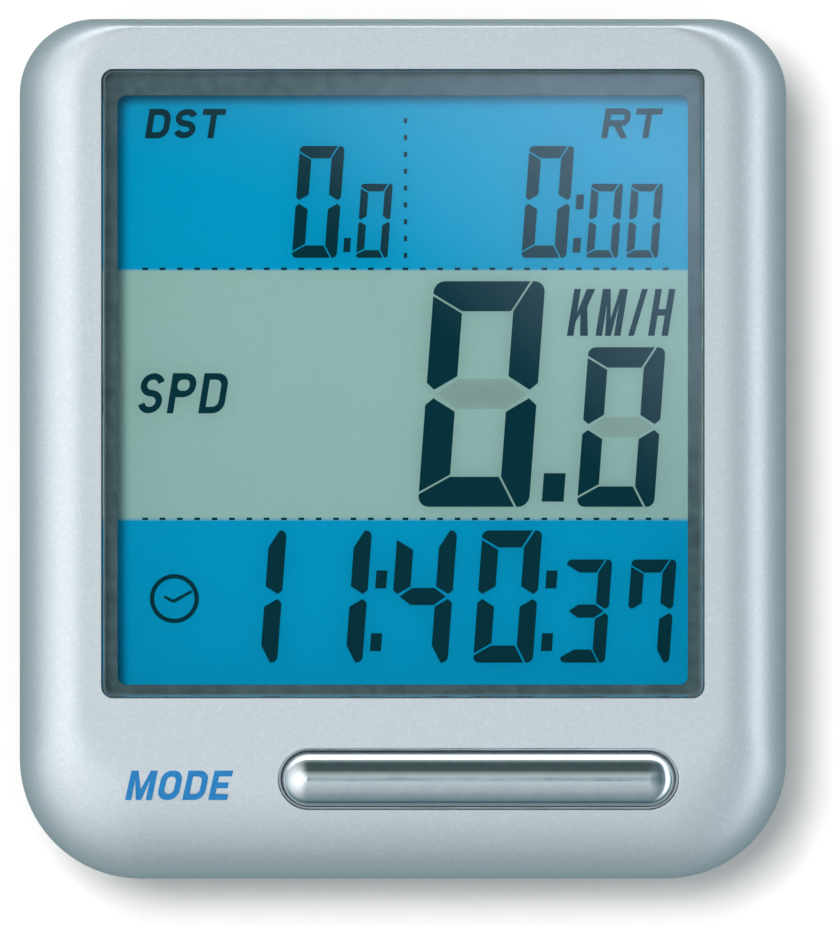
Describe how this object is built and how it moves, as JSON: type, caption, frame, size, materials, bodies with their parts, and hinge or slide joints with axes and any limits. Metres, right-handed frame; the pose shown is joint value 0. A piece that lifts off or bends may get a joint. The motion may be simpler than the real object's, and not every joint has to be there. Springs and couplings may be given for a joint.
{
  "type": "cycling computer",
  "caption": "Rounded handlebar computer head unit with a large display behind a clear window and one bar key below it.",
  "frame": {"origin": "middle of the unit's footprint, on the surface that its bracket rails rest on, with the unit lying on its back", "axes": "+Z out of the display, +Y towards the display's top, +X to the display's right"},
  "size_m": [0.0446, 0.05, 0.0166],
  "materials": {
    "silver_paint": "metallic silver paint on ABS, fine sparkle, satin",
    "grey_abs": "moulded dark grey ABS, fine spark texture",
    "clear_acrylic": "clear polished acrylic",
    "adhesive_tape": "black foam tape",
    "bezel_plastic": "dark blue-grey moulding with a textured top",
    "polariser_film": "grey polarising film",
    "lcd_glass": "thin clear glass",
    "colour_film": "printed film with blue and grey-green bands",
    "reflector_film": "silvered film, satin",
    "tray_plastic": "moulded off-white polycarbonate",
    "zebra_rubber": "layered conductive rubber strip",
    "board_laminate": "glass-fibre laminate with green solder mask",
    "chip_epoxy": "black potting epoxy",
    "crystal_can": "drawn metal can",
    "capacitor_ceramic": "fired ceramic with tinned ends",
    "screw_steel": "zinc-plated steel",
    "chrome_bar": "bright chrome plating on ABS",
    "membrane_silicone": "moulded grey silicone",
    "dome_steel": "pressed spring steel",
    "cell_can": "nickel-plated can, finely brushed",
    "contact_steel": "nickel-plated spring steel",
    "cover_abs": "moulded dark ABS",
    "seal_rubber": "black silicone rubber",
    "stud_gold": "gold-plated brass"
  },
  "bodies": {
    "case": {"front_cover": "silver_paint", "rear_cover": "grey_abs", "case_seal": "seal_rubber", "display_window": "clear_acrylic", "window_tape": "adhesive_tape", "lcd_bezel": "bezel_plastic", "front_polariser": "polariser_film", "lcd_front_glass": "lcd_glass", "lcd_rear_glass": "lcd_glass", "colour_filter_film": "colour_film", "reflector_film": "reflector_film", "lcd_tray": "tray_plastic", "zebra_strip": "zebra_rubber", "circuit_board": "board_laminate", "controller_chip": "chip_epoxy", "quartz_crystal": "crystal_can", "chip_capacitor_1": "capacitor_ceramic", "chip_capacitor_2": "capacitor_ceramic", "board_screw_1": "screw_steel", "board_screw_2": "screw_steel", "board_screw_3": "screw_steel", "board_screw_4": "screw_steel", "case_screw_1": "screw_steel", "case_screw_2": "screw_steel", "case_screw_3": "screw_steel", "case_screw_4": "screw_steel", "button_membrane": "membrane_silicone", "switch_dome": "dome_steel", "battery": "cell_can", "battery_contact_negative": "contact_steel", "battery_contact_positive": "contact_steel", "contact_stud_left": "stud_gold", "contact_stud_right": "stud_gold", "contact_spring_left": "contact_steel", "contact_spring_right": "contact_steel"},
    "button": {"mode_button": "chrome_bar"},
    "battery_door": {"battery_cover": "cover_abs", "battery_cover_seal": "seal_rubber"}
  },
  "joints": [
    {"name": "button_press", "type": "slide", "parent": "case", "child": "button", "axis": [0, 0, -1], "range_m": [0, 0.0006], "stiffness_N_per_m": 2000, "springref_m": -0.0003, "deforming": ["button_membrane", "switch_dome"]},
    {"name": "battery_cover_turn", "type": "hinge", "parent": "case", "child": "battery_door", "pos_m": [0, 0.005, 0.0019], "axis": [0, 0, -1], "range_deg": [0, 50]}
  ]
}
